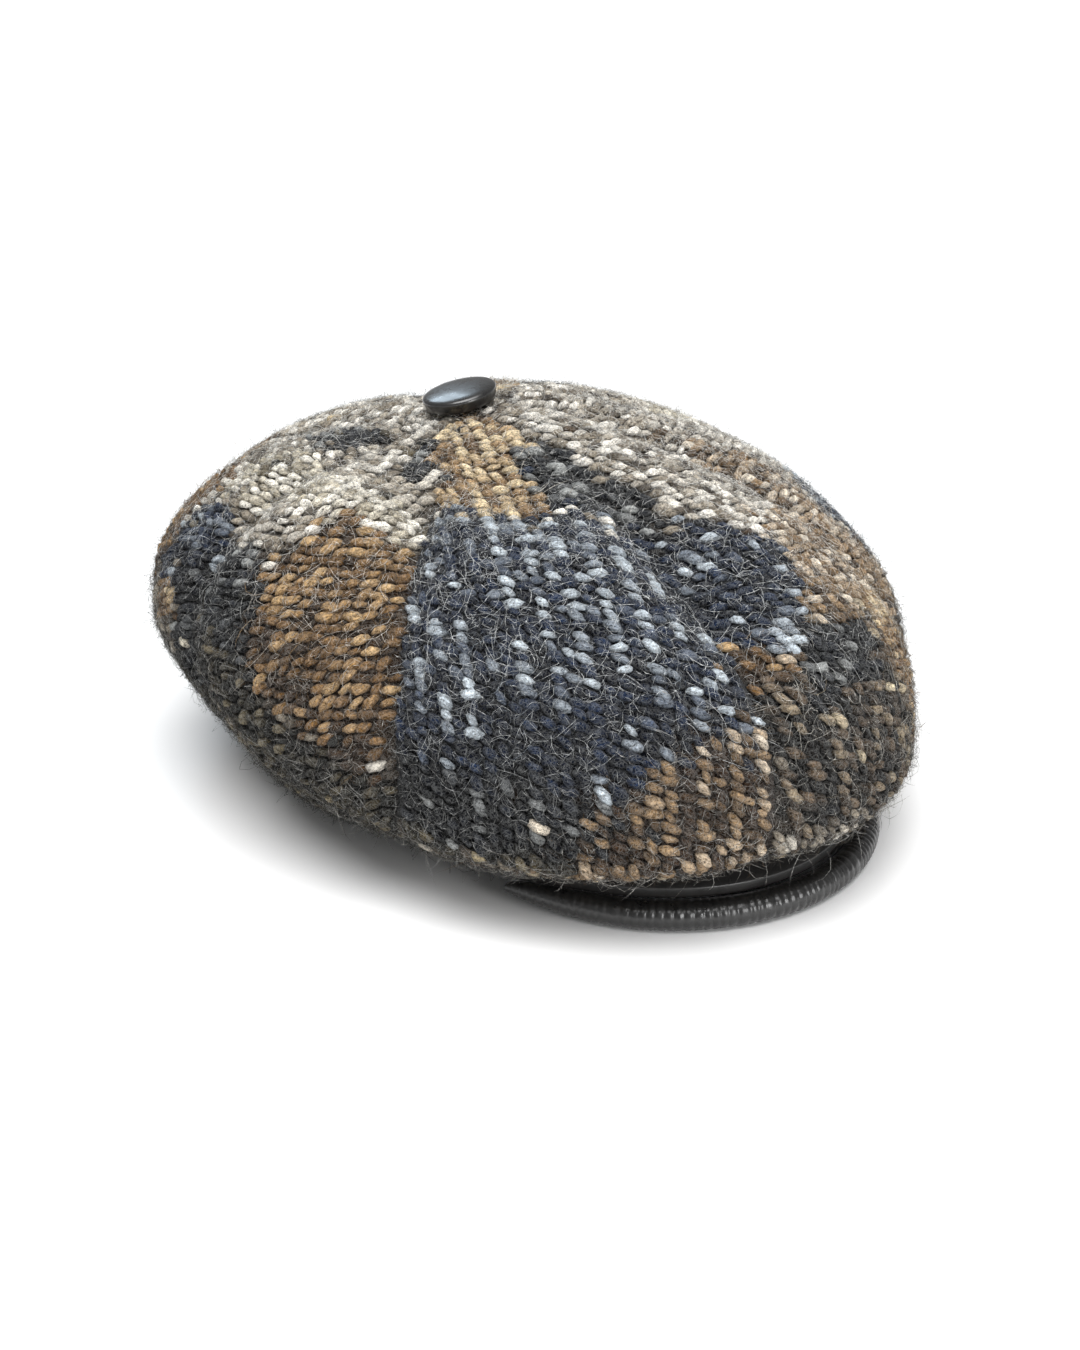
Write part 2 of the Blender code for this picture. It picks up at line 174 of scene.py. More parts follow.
def seam_azimuth(number, place):
    """Azimuth of a seam, with its drift towards the hem."""
    seam = SEAMS[number % len(SEAMS)]
    drift = seam.drift * smooth_step((place - DRIFT_START_SHARE) / (1.0 - DRIFT_START_SHARE))
    return np.radians(seam.azimuth + drift) + 2 * np.pi * (number // len(SEAMS))


def panel_point(number, across, place):
    """Point on a panel's outer face: across runs 0 to 1 from its seam to the next one."""
    across, place = np.broadcast_arrays(np.asarray(across, float), np.asarray(place, float))
    middle = crown_form(seam_azimuth(number, place), place)[..., :2]
    spread = np.sin(np.minimum(place / WIDEST_SHARE, 1) * np.pi / 2)
    middle_offset = np.where(place <= WIDEST_SHARE, 1 - spread, 0)
    shifted = middle - np.stack([-APEX_RIGHT * middle_offset, APEX_BACK * middle_offset], axis=-1)
    radius = np.maximum(np.linalg.norm(shifted, axis=-1), LEAST_RADIUS)
    start = seam_azimuth(number, place) - SEAM_OVERLAP / 2 / radius
    end = seam_azimuth(number + 1, place) + SEAM_OVERLAP / 2 / radius
    azimuth = start + (end - start) * across
    half_width = (end - start) / 2 * radius
    from_seam = np.minimum(across, 1.0 - across) * 2.0 * half_width
    level = np.sin(np.pi * np.minimum(1.0, place / SWELL_END_SHARE))
    valley = SEAM_DEPTH * smooth_step(half_width / (3 * SEAM_WIDTH))
    valley = valley * np.exp(-((from_seam / SEAM_WIDTH) ** 2))
    sunk = (valley - PANEL_SWELL * 4 * across * (1 - across)) * level
    for dent in DENTS:
        aside = (azimuth - np.radians(dent.azimuth) + np.pi) % (2 * np.pi) - np.pi
        away = (aside / np.radians(dent.spread)) ** 2
        sunk += dent.depth * np.exp(-away - ((place - dent.place) / dent.length) ** 2)
    step = 0.004
    held = np.clip(place, step, 1.0 - step)
    round_way = crown_form(azimuth + step, held) - crown_form(azimuth - step, held)
    down_way = crown_form(azimuth, held + step) - crown_form(azimuth, held - step)
    outward = unit(np.cross(down_way, round_way))
    spot = crown_form(azimuth, place) - outward * sunk[..., None]
    return spot + np.array([opening_middle[0], opening_middle[1], 0.0])


def panel_frame(number, across, place):
    """Points on a panel with the cloth's own directions there: outward, down the panel and across it."""
    step = 0.003
    low, high = np.clip(place - step, 0.001, 1.0), np.clip(place + step, 0.0, 0.999)
    left, right = np.clip(across - step, 0.0, 1.0), np.clip(across + step, 0.0, 1.0)
    down = unit(panel_point(number, across, high) - panel_point(number, across, low))
    aside = panel_point(number, right, place) - panel_point(number, left, place)
    aside = unit(aside - down * np.sum(aside * down, axis=-1, keepdims=True))
    outward = np.cross(down, aside)
    sunk = NAP_SINK + UNDERSIDE_SINK * smooth_step((place - UNDERSIDE_START) / UNDERSIDE_BLEND)
    return panel_point(number, across, place) - outward * sunk[..., None], outward, down, aside


# Lengths of cloth, so that yarns lie at an even pitch whatever the panel's width
def panel_lengths(number):
    """Places down the middle of a panel with their distance from its point and its width there."""
    places = np.linspace(TIP_SHARE, 1.0, LENGTH_SAMPLES)
    line = panel_point(number, 0.5, places)
    along = np.append(0.0, np.cumsum(np.linalg.norm(np.diff(line, axis=0), axis=1)))
    ribs = np.array([panel_point(number, share, places) for share in np.linspace(0.0, 1.0, RIB_SAMPLES)])
    widths = np.sum(np.linalg.norm(np.diff(ribs, axis=0), axis=2), axis=0)
    return places, along, widths


# The plaid: soft-edged squares of nine earth-coloured yarns, each with a dark, a middle and a light strand
def seen(red, green, blue):
    """Linear colour of a surface from its look in daylight, 0 to 255."""
    share = np.array([red, green, blue]) / 255.0
    return np.where(share <= 0.04045, share / 12.92, ((share + 0.055) / 1.055) ** 2.4)


Yarn = namedtuple("Yarn", "dark middle light lightness")
YARNS = {
    "stone": Yarn(seen(58, 50, 42), seen(148, 138, 122), seen(232, 227, 217), 0.54),
    "cream": Yarn(seen(124, 115, 98), seen(190, 181, 161), seen(238, 233, 221), 0.60),
    "navy": Yarn(seen(3, 7, 20), seen(28, 40, 62), seen(180, 189, 196), 0.40),
    "ink": Yarn(seen(3, 4, 9), seen(28, 31, 38), seen(150, 152, 150), 0.36),
    "camel": Yarn(seen(50, 34, 18), seen(119, 90, 55), seen(178, 148, 106), 0.45),
    "tan": Yarn(seen(92, 68, 42), seen(158, 130, 94), seen(212, 192, 156), 0.52),
    "beige": Yarn(seen(48, 33, 20), seen(142, 117, 86), seen(212, 200, 182), 0.46),
    "umber": Yarn(seen(14, 11, 10), seen(88, 73, 57), seen(196, 181, 152), 0.47),
    "olive": Yarn(seen(18, 16, 12), seen(64, 57, 42), seen(134, 122, 96), 0.40),
}
YARN_NAMES = list(YARNS)
DARK = np.array([YARNS[name].dark for name in YARN_NAMES])
MIDDLE = np.array([YARNS[name].middle for name in YARN_NAMES])
LIGHT = np.array([YARNS[name].light for name in YARN_NAMES])
LIGHTNESS = np.array([YARNS[name].lightness for name in YARN_NAMES])
Patch = namedtuple("Patch", "across place wide tall turn yarn")
CHARTS = {
    1: (
        Patch(0.50, 0.10, 0.60, 0.135, 0, "tan"),
        Patch(0.97, 0.17, 0.26, 0.060, 0, "ink"),
        Patch(0.95, 0.25, 0.26, 0.030, 0, "stone"),
        Patch(0.48, 0.43, 0.70, 0.205, 0, "navy"),
        Patch(0.20, 0.64, 0.45, 0.055, 0, "ink"),
        Patch(1.18, 0.79, 0.62, 0.270, -38, "beige"),
        Patch(0.20, 0.71, 0.34, 0.022, 0, "olive"),
        Patch(0.50, 0.90, 0.80, 0.150, 0, "umber"),
    ),
    8: (
        Patch(0.70, 0.14, 0.16, 0.045, 0, "ink"),
        Patch(0.95, 0.06, 0.20, 0.070, 0, "tan"),
        Patch(0.50, 0.28, 0.60, 0.045, 0, "cream"),
        Patch(0.70, 0.47, 0.36, 0.170, 12, "camel"),
        Patch(0.08, 0.58, 0.30, 0.150, -12, "ink"),
        Patch(0.50, 0.71, 0.48, 0.070, 20, "olive"),
        Patch(0.92, 0.73, 0.30, 0.090, 0, "olive"),
        Patch(0.50, 0.90, 0.80, 0.140, 0, "olive"),
    ),
    7: (
        Patch(0.55, 0.17, 0.30, 0.050, 0, "ink"),
        Patch(0.80, 0.30, 0.30, 0.080, 0, "cream"),
        Patch(0.82, 0.50, 0.26, 0.095, 10, "navy"),
        Patch(0.95, 0.64, 0.12, 0.150, 0, "ink"),
        Patch(0.70, 0.63, 0.13, 0.035, 0, "tan"),
        Patch(0.25, 0.50, 0.30, 0.150, 0, "camel"),
        Patch(0.50, 0.88, 0.80, 0.150, 0, "olive"),
    ),
    2: (
        Patch(0.04, 0.21, 0.14, 0.100, 0, "ink"),
        Patch(0.55, 0.42, 0.45, 0.100, 0, "beige"),
        Patch(0.16, 0.36, 0.27, 0.090, 20, "navy"),
        Patch(0.03, 0.46, 0.10, 0.040, 0, "camel"),
        Patch(0.34, 0.57, 0.36, 0.110, 0, "umber"),
        Patch(0.34, 0.49, 0.20, 0.040, 0, "ink"),
        Patch(0.62, 0.68, 0.30, 0.110, 0, "umber"),
        Patch(0.85, 0.58, 0.22, 0.120, 0, "tan"),
        Patch(0.50, 0.88, 0.80, 0.150, 0, "umber"),
    ),
    3: (
        Patch(0.15, 0.40, 0.30, 0.180, 0, "beige"),
        Patch(0.75, 0.52, 0.28, 0.130, 0, "navy"),
        Patch(0.35, 0.66, 0.34, 0.080, 0, "umber"),
        Patch(0.50, 0.88, 0.80, 0.150, 0, "olive"),
    ),
}
CHART_OF_PANEL = (1, 2, 3, 8, 1, 2, 7, 8)
PANEL_ASPECT = 0.38
WOBBLE_ACROSS = 0.030
WOBBLE_ACROSS_RATE = 46.0
WOBBLE_DOWN = 0.010
WOBBLE_DOWN_RATE = 19.0
# Painted shade: the yarns' colours are darkened low down on the crown, where less light falls.
PAINTED_LOW_SHADE = 0.30
PAINTED_LOW_SHADE_START = 0.42
PAINTED_LOW_SHADE_BLEND = 0.20


def panel_yarns(number, across, place, random, blur):
    """Which yarn of the plaid each spot of a panel is woven in, with ragged edges between the squares."""
    chosen = np.full(np.shape(across), YARN_NAMES.index("stone"))
    across = across + WOBBLE_ACROSS * np.sin(place * WOBBLE_ACROSS_RATE + number)
    place = place + WOBBLE_DOWN * np.sin(across * WOBBLE_DOWN_RATE + 2 * number)
    for patch in CHARTS[CHART_OF_PANEL[number]]:
        aside = (across - patch.across) * PANEL_ASPECT
        down = place - patch.place
        turn = np.radians(patch.turn)
        wide = (aside * np.cos(turn) + down * np.sin(turn)) / (patch.wide * PANEL_ASPECT)
        tall = (down * np.cos(turn) - aside * np.sin(turn)) / patch.tall
        reach = (np.abs(wide) ** 4 + np.abs(tall) ** 4) ** 0.25
        inside = reach < 1.0 + random.normal(0.0, blur, np.shape(across))
        chosen = np.where(inside, YARN_NAMES.index(patch.yarn), chosen)
    return chosen


def yarn_tone(yarn, blend, place):
    """Colour of a yarn from its dark strand (0) to its middle one (0.5) and its light one (1), darkened low down on
    the crown by painted shade.
    """
    # Painted shade: low down on the crown the blend is pulled towards the dark strand.
    painted_low_shade = PAINTED_LOW_SHADE * smooth_step((place - PAINTED_LOW_SHADE_START) / PAINTED_LOW_SHADE_BLEND)
    held = np.clip(blend - painted_low_shade, 0.0, 1.0)[..., None]
    lower = DARK[yarn] + (MIDDLE[yarn] - DARK[yarn]) * np.minimum(held * 2, 1.0)
    return lower + (LIGHT[yarn] - MIDDLE[yarn]) * np.maximum(held * 2 - 1, 0.0)


def new_material(name):
    """A node material, with its shader and a function that adds nodes."""
    material = bpy.data.materials.new(name)
    material.use_nodes = True
    tree = material.node_tree
    shader = tree.nodes["Principled BSDF"]

    def node(kind, **settings):
        made = tree.nodes.new(kind)
        for key, value in settings.items():
            if key in made.inputs:
                made.inputs[key].default_value = value
            else:
                setattr(made, key, value)
        return made

    return material, shader, node, tree.links.new


MOTTLE_SCALE = 1300.0
WARP_SCALE = 260.0
WARP_REACH = 0.006
WEB_SCALES = (520.0, 860.0)
WEB_WIDTH = 0.090
PLIES_ROUND = 2.0
PLIES_ALONG = 1.3
STREAKS_PER_PLY = 2.4
STREAK_SCALE = 1.8
MATTED_GAIN = 1.4
MATTED_PALE = (0.12, 0.122, 0.118)
WOOL_RELIEF = 0.0005


def wool_material(name, hair, ply):
    """Hairy wool: the yarn's own colour, mottled by its fibres, twisted in plies with painted shade in the grooves
    between them, and crossed by matted hairs.
    """
    material, shader, node, link = new_material(name)

    def ranged(value, low, high, bottom, top):
        made = node("ShaderNodeMapRange")
        for socket, setting in (("From Min", low), ("From Max", high), ("To Min", bottom), ("To Max", top)):
            made.inputs[socket].default_value = setting
        link(value, made.inputs["Value"])
        return made.outputs["Result"]

    def blended(operation, first, second):
        made = node("ShaderNodeMath", operation=operation)
        for socket, value in zip(made.inputs, (first, second)):
            if isinstance(value, float):
                socket.default_value = value
            else:
                link(value, socket)
        return made.outputs["Value"]

    yarn = node("ShaderNodeAttribute", attribute_name="yarn")
    spot = node("ShaderNodeTexCoord")
    mottle = node("ShaderNodeTexNoise", Scale=MOTTLE_SCALE, Detail=2.0, Roughness=0.7)
    link(spot.outputs["Object"], mottle.inputs["Vector"])
    warp = node("ShaderNodeTexNoise", Scale=WARP_SCALE, Detail=2.0)
    link(spot.outputs["Object"], warp.inputs["Vector"])
    bend = node("ShaderNodeVectorMath", operation="SCALE")
    bend.inputs["Scale"].default_value = WARP_REACH
    link(warp.outputs["Color"], bend.inputs[0])
    bent = node("ShaderNodeVectorMath", operation="ADD")
    link(spot.outputs["Object"], bent.inputs[0])
    link(bend.outputs["Vector"], bent.inputs[1])
    webs = []
    for scale in WEB_SCALES:
        web = node("ShaderNodeTexVoronoi", feature="DISTANCE_TO_EDGE", Scale=scale)
        link(bent.outputs["Vector"], web.inputs["Vector"])
        webs.append(ranged(web.outputs["Distance"], 0.0, WEB_WIDTH, 1.0, 0.0))
    hairs = blended("MAXIMUM", webs[0], webs[1])
    around = node("ShaderNodeUVMap", uv_map="twist")
    split = node("ShaderNodeSeparateXYZ")
    link(around.outputs["UV"], split.inputs["Vector"])
    round_way = blended("MULTIPLY", split.outputs["X"], PLIES_ROUND)
    twisted = blended("ADD", round_way, blended("MULTIPLY", split.outputs["Y"], PLIES_ALONG))
    lengthwise = node("ShaderNodeCombineXYZ")
    link(blended("MULTIPLY", twisted, STREAKS_PER_PLY), lengthwise.inputs["X"])
    link(split.outputs["Y"], lengthwise.inputs["Y"])
    streak = node("ShaderNodeTexNoise", Scale=STREAK_SCALE, Detail=2.0, Roughness=0.6)
    link(lengthwise.outputs["Vector"], streak.inputs["Vector"])
    streaks = ranged(streak.outputs["Fac"], 0.34, 0.66, 1.0 - ply, 1.0 + ply)
    strand = blended("ABSOLUTE", blended("SINE", blended("MULTIPLY", twisted, float(np.pi)), 0.0), 0.0)
    # Painted shade in the grooves between the plies; the same groove also raises the bump.
    groove_shade_and_relief = ranged(strand, 0.0, 0.75, 1.0 - ply, 1.0)
    fibres = ranged(mottle.outputs["Fac"], 0.32, 0.68, 0.25, 1.75)
    shade = node("ShaderNodeVectorMath", operation="SCALE")
    link(yarn.outputs["Color"], shade.inputs[0])
    # Painted shade: the colour is multiplied by the ply grooves as well as by the fibres and streaks.
    link(blended("MULTIPLY", blended("MULTIPLY", fibres, streaks), groove_shade_and_relief), shade.inputs["Scale"])
    pale = node("ShaderNodeVectorMath", operation="MULTIPLY_ADD")
    pale.inputs[1].default_value = (MATTED_GAIN, MATTED_GAIN, MATTED_GAIN)
    pale.inputs[2].default_value = MATTED_PALE
    link(yarn.outputs["Color"], pale.inputs[0])
    mixed = node("ShaderNodeMix", data_type="RGBA")
    link(blended("MULTIPLY", hairs, hair), mixed.inputs["Factor"])
    link(shade.outputs["Vector"], mixed.inputs["A"])
    link(pale.outputs["Vector"], mixed.inputs["B"])
    link(mixed.outputs["Result"], shader.inputs["Base Color"])
    fibre_relief = blended("ADD", mottle.outputs["Fac"], blended("MULTIPLY", hairs, 0.6))
    relief = blended("ADD", fibre_relief, blended("ADD", groove_shade_and_relief, streak.outputs["Fac"]))
    bump = node("ShaderNodeBump", Strength=0.8, Distance=WOOL_RELIEF)
    link(relief, bump.inputs["Height"])
    link(bump.outputs["Normal"], shader.inputs["Normal"])
    shader.inputs["Roughness"].default_value = 0.95
    shader.inputs["Specular IOR Level"].default_value = 0.12
    shader.inputs["Sheen Weight"].default_value = 0.08
    shader.inputs["Sheen Roughness"].default_value = 0.5
    return material


def add_piece(name, points, faces, material, colours=None, twist=None):
    """A smooth mesh object from arrays, with a colour and a place round and along the yarn per point if given."""
    mesh = bpy.data.meshes.new(name)
    mesh.from_pydata(points.tolist(), [], faces)
    mesh.shade_smooth()
    if colours is not None:
        layer = mesh.color_attributes.new("yarn", "FLOAT_COLOR", "POINT")
        rgba = np.concatenate([colours, np.ones((len(colours), 1))], axis=1)
        layer.data.foreach_set("color", rgba.astype(np.float32).ravel())
    if twist is not None:
        corners = np.empty(len(mesh.loops), dtype=np.int32)
        mesh.loops.foreach_get("vertex_index", corners)
        mesh.uv_layers.new(name="twist").data.foreach_set("uv", twist[corners].astype(np.float32).ravel())
    mesh.materials.append(material)
    piece = bpy.data.objects.new(name, mesh)
    bpy.context.scene.collection.objects.link(piece)
    return piece


def cloth_grid(columns, rows):
    """Shares across and places down a panel at the corners of its ground cloth."""
    across = np.linspace(0.0, 1.0, columns + 1)
    place = np.linspace(TIP_SHARE, 1.0, rows + 1)
    return np.meshgrid(across, place)


def grid_faces(columns, rows):
    """Four-sided faces of a grid of points, row by row."""
    first = np.arange(rows)[:, None] * (columns + 1) + np.arange(columns)[None, :]
    corners = np.stack([first, first + columns + 1, first + columns + 2, first + 1], axis=-1)
    return corners.reshape(-1, 4).tolist()


wool = wool_material("wool_cloth", 0.75, 0.50)
CLOTH_COLUMNS = 20
CLOTH_ROWS = 52
CLOTH_RAGGEDNESS = 0.08
CLOTH_LIGHTEST = 0.12
for number, panel in enumerate(PANELS):
    across, place = cloth_grid(CLOTH_COLUMNS, CLOTH_ROWS)
    spot, outward = panel_frame(number, across, place)[:2]
    random = np.random.default_rng(100 + number)
    yarn = panel_yarns(number, across, place, random, CLOTH_RAGGEDNESS)
    tone = yarn_tone(yarn, random.uniform(0.0, CLOTH_LIGHTEST, across.shape), place)
    points = (spot - outward * CLOTH_SINK).reshape(-1, 3)
    faces = grid_faces(CLOTH_COLUMNS, CLOTH_ROWS)
    cloth = add_piece(f"{panel}_cloth", points, faces, wool, tone.reshape(-1, 3))
    wall = cloth.modifiers.new("wall", "SOLIDIFY")
    wall.thickness = CLOTH_THICKNESS
    wall.offset = -1.0
    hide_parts(panel)
    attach(cloth, "root")


# Crown panels: the fat yarns
# A thick two-ply yarn floats over the ground cloth in short slanting stitches, in columns that run down
# each panel. Light and dark strands are mixed stitch by stitch, which gives the plaid its broken edges.

COLUMN_PITCH = 0.0048
STITCH_PITCH = 0.0037
STITCH_LENGTH = 0.0068
STITCH_HALF_WIDTH = 0.00150
STITCH_RISE = 0.0012
STITCH_SINK = 0.0014
STITCH_SIDES = 6
STITCH_EDGE = 0.0011
STITCH_SLANTS = {1: 52.0, 2: 50.0, 3: 52.0, 7: 108.0, 8: 114.0}
STITCH_WANDER = 0.0004
HEM_EDGE = 0.001
YARN_RAGGEDNESS = 0.07
STRAY_SHARE = 0.015
SLANT_SPREAD = 0.27
COLUMN_SPREAD = 0.08
COLUMN_CONTRAST = 0.13
CLOUD_CONTRAST = 0.13
# Painted light: stitches on the top of the crown are made lighter, as if lit from above.
PAINTED_TOP_LIGHT_SHARE = 0.36
PAINTED_TOP_LIGHT = 0.06
TONE_SPREAD = 0.30
STITCH_FLATNESS = 0.85
YARN_ROUGHNESS = 0.00016


def strands(paths, outward, half_widths, half_heights, sides):
    """Points and faces of closed tubes along many paths at once, each drawn to a point at its ends."""
    count, rings = paths.shape[:2]
    along = unit(np.gradient(paths, axis=1))
    flank = unit(np.cross(along, outward[:, None, :]))
    upward = np.cross(flank, along)
    turns = 2 * np.pi * np.arange(sides) / sides
    ring = (
        paths[:, 1:-1, None, :]
        + flank[:, 1:-1, None, :] * (half_widths[:, :, None, None] * np.cos(turns)[None, None, :, None])
        + upward[:, 1:-1, None, :] * (half_heights[:, :, None, None] * np.sin(turns)[None, None, :, None])
    )
    points = np.concatenate([ring.reshape(count, -1, 3), paths[:, :1], paths[:, -1:]], axis=1)
    quads = []
    caps = []
    inner = rings - 2
    for side in range(sides):
        other = (side + 1) % sides
        for step in range(inner - 1):
            low, high = step * sides, (step + 1) * sides
            quads.append((low + side, low + other, high + other, high + side))
        last = (inner - 1) * sides
        caps.append((inner * sides, other, side))
        caps.append((inner * sides + 1, last + side, last + other))
    shift = np.arange(count) * points.shape[1]
    faces = (np.array(quads)[None] + shift[:, None, None]).reshape(-1, 4).tolist() if quads else []
    faces += (np.array(caps)[None] + shift[:, None, None]).reshape(-1, 3).tolist()
    return points.reshape(-1, 3), faces


def stitch_sites(number, random):
    """Where the stitches of a panel lie: shares across, places down, and the column of each."""
    places, along, widths = panel_lengths(number)
    rows = np.arange(1, int(along[-1] / STITCH_PITCH))
    half_columns = int(widths.max() / 2 / COLUMN_PITCH) + 1
    row, column = np.meshgrid(rows, np.arange(-half_columns, half_columns + 1), indexing="ij")
    down = row * STITCH_PITCH + (column % 2) * STITCH_PITCH / 2 + random.normal(0.0, STITCH_WANDER, row.shape)
    aside = column * COLUMN_PITCH + random.normal(0.0, STITCH_WANDER, row.shape)
    place = np.interp(down, along, places)
    width = np.interp(down, along, widths)
    kept = (np.abs(aside) < width / 2 - STITCH_EDGE) & (down < along[-1] - HEM_EDGE)
    return (0.5 + aside / width)[kept], place[kept], column[kept] + half_columns


stitch_steps = np.array([-0.5, -0.36, -0.12, 0.12, 0.36, 0.5])
stitch_fullness = np.array([0.72, 1.0, 1.0, 0.72])
# Painted shade at the stitches' ends: the end rings and the two tips are darkened where the stitches dip into the
# cloth.
ring_painted_shade = np.repeat([0.72, 1.0, 1.0, 0.72], STITCH_SIDES)
end_painted_shade = np.append(ring_painted_shade, [0.35, 0.35])
turn_share = np.abs(np.arange(STITCH_SIDES) * 2 / STITCH_SIDES - 1)
ring_map = np.stack(np.meshgrid(turn_share, np.arange(len(stitch_fullness)) * 0.33), axis=-1).reshape(-1, 2)
stitch_map = np.concatenate([ring_map, [(0.5, -0.2)], [(0.5, 1.2)]])
for number, panel in enumerate(PANELS):
    random = np.random.default_rng(200 + number)
    across, place, column = stitch_sites(number, random)
    spot, outward, down, aside = panel_frame(number, across, place)
    yarn = panel_yarns(number, across, place, random, YARN_RAGGEDNESS)
    stray = random.random(across.shape) < STRAY_SHARE
    yarn = np.where(stray, random.permutation(yarn), yarn)
    slant = np.radians(STITCH_SLANTS[CHART_OF_PANEL[number]]) + random.normal(0.0, SLANT_SPREAD, across.shape)
    heading = down * np.cos(slant)[:, None] + aside * np.sin(slant)[:, None]
    column_tone = random.normal(0.0, COLUMN_SPREAD, column.max() + 1)[column]
    column_tone = column_tone + np.where(column % 2 == 0, COLUMN_CONTRAST, -COLUMN_CONTRAST)
    cloud = np.sin(across * 8.0 + place * 13.0 + number) * np.sin(place * 27.0 + 1.7 * number)
    # Random cloudy tone, plus painted light that makes the top of the crown lighter.
    cloud_and_painted_top_light = CLOUD_CONTRAST * cloud + PAINTED_TOP_LIGHT * (place < PAINTED_TOP_LIGHT_SHARE)
    blend = LIGHTNESS[yarn] + column_tone + cloud_and_painted_top_light + random.normal(0.0, TONE_SPREAD, across.shape)
    size = random.uniform(0.76, 1.20, across.shape)
    rise = STITCH_RISE * (1 - (2 * stitch_steps) ** 2) - STITCH_SINK
    lift = rise[None, :] * size[:, None] + (np.clip(blend, 0, 1) * 0.0004 - 0.0002)[:, None]
    lengths = STITCH_LENGTH * size[:, None] * stitch_steps[None, :]
    paths = spot[:, None] + heading[:, None] * lengths[..., None] + outward[:, None] * lift[..., None]
    half_widths = STITCH_HALF_WIDTH * size[:, None] * stitch_fullness[None, :]
    half_widths = half_widths * random.uniform(0.88, 1.12, half_widths.shape)
    points, faces = strands(paths, outward, half_widths, half_widths * STITCH_FLATNESS, STITCH_SIDES)
    points += random.normal(0.0, YARN_ROUGHNESS, points.shape)
    tone = yarn_tone(yarn, blend, place) * random.uniform(0.85, 1.15, blend.shape)[:, None]
    # Painted shade darkens each stitch towards its ends.
    tones = (tone[:, None, :] * end_painted_shade[None, :, None]).reshape(-1, 3)
    start = np.repeat(random.random((len(across), 1)), len(stitch_map), axis=0)
    twist = np.tile(stitch_map, (len(across), 1)) + start
    stitches = add_piece(f"{panel}_yarns", points, faces, wool, tones, twist)
    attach(stitches, "root")


# Crown panels: the loose hairs
# Fine curly mohair stands out of the yarns all over and softens the outline. A dense fuzz of short hairs
# hides the gaps between the yarns, and longer ones lie over it in arcs and loops.

Hair = namedtuple("Hair", "name per_area length curl height radius rings tone pale")
HAIRS = (
    Hair("fuzz", 360000.0, 0.0038, 1.6, 0.00045, 0.000066, (1.0,), (0.0, 0.8), 0.32),
    Hair("curls", 95000.0, 0.0092, 2.6, 0.00048, 0.000056, (0.9, 1.0, 0.7), (0.3, 1.1), 0.70),
)
FLOOR_CLEARANCE = 0.0002
HAIR_RAGGEDNESS = 0.10
HAIR_FOOT = 0.0003
HAIR_LONGEST_RISE = 0.0045
HAIR_LIFT = 1.5
LOOP_SHARE = 0.55
TUFT_SHARE = 0.05
TUFT_GROWTH = 3.0
PALER_TOP = 0.25
PALER_TOP_START = 0.30
PALER_TOP_BLEND = 0.15
PALE_HAIR = seen(246, 246, 243)
PALE_HAIR_SHARE = 0.65
# Painted shade on the hairs low down on the crown.
HAIR_PAINTED_LOW_SHADE = 0.52
hair_material = wool_material("wool_hair", 0.0, 0.0)
for number, panel in enumerate(PANELS):
    random = np.random.default_rng(300 + number)
    places, along, widths = panel_lengths(number)
    covered = np.append(0.0, np.cumsum((widths[1:] + widths[:-1]) / 2 * np.diff(along)))
    for hair in HAIRS:
        count = int(covered[-1] * hair.per_area)
        place = np.interp(random.random(count) * covered[-1], covered, places)
        across = random.uniform(0.01, 0.99, count)
        spot, outward, down, aside = panel_frame(number, across, place)
        yarn = panel_yarns(number, across, place, random, HAIR_RAGGEDNESS)
        length = hair.length * random.uniform(0.4, 1.6, count)
        heading = random.uniform(0.0, 2 * np.pi, count)
        curl = random.normal(0.0, hair.curl, count)
        tuft = np.where(random.random(count) < TUFT_SHARE, TUFT_GROWTH, 1.0)
        height = HAIR_FOOT + np.minimum(random.exponential(hair.height, count) * tuft, HAIR_LONGEST_RISE)
        loop = random.random(count) < LOOP_SHARE
        steps = len(hair.rings) + 2
        t = np.linspace(0.0, 1.0, steps)
        angle = heading[:, None] + curl[:, None] * t[None, :]
        stride = length[:, None] / (steps - 1)
        x = np.cumsum(np.cos(angle) * stride, axis=1)
        y = np.cumsum(np.sin(angle) * stride, axis=1)
        arch = np.where(loop[:, None], np.sin(np.pi * t)[None, :], np.sin(np.pi / 2 * t)[None, :] ** 1.5)
        lift = height[:, None] * arch * HAIR_LIFT + HAIR_FOOT
        paths = spot[:, None] + aside[:, None] * x[..., None] + down[:, None] * y[..., None]
        paths += outward[:, None] * lift[..., None]
        paths[..., 2] = np.maximum(paths[..., 2], FLOOR_CLEARANCE)
        thin = hair.radius * np.array(hair.rings)[None, :] * random.uniform(0.7, 1.3, count)[:, None]
        points, faces = strands(paths, outward, thin, thin, 3)
        tone = yarn_tone(yarn, random.uniform(*hair.tone, count), place)
        paler = hair.pale + PALER_TOP * (1 - smooth_step((place - PALER_TOP_START) / PALER_TOP_BLEND))
        pale_tone = PALE_HAIR_SHARE * PALE_HAIR + (1 - PALE_HAIR_SHARE) * LIGHT[yarn]
        tone = np.where((random.random(count) < paler)[:, None], pale_tone, tone)
        # Painted shade: hairs low down on the crown are darkened, on top of the painted shade already in their
        # yarn's tone.
        shade = 1 - HAIR_PAINTED_LOW_SHADE * smooth_step((place - PAINTED_LOW_SHADE_START) / PAINTED_LOW_SHADE_BLEND)
        shaded = random.uniform(0.75, 1.15, count) * shade
        tones = np.repeat(tone * shaded[:, None], len(hair.rings) * 3 + 2, axis=0)
        hairs = add_piece(f"{panel}_{hair.name}", points, faces, hair_material, tones)
        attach(hairs, "root")


# Headband
# An upright band of plain black cloth, folded double, lines the opening for the head.
# The crown and the peak are sewn to its foot.

BAND_STEPS = 96
BAND_SIDES = 16
BAND_THICKNESS = 0.0025
BAND_BLACK = (0.02, 0.02, 0.02)


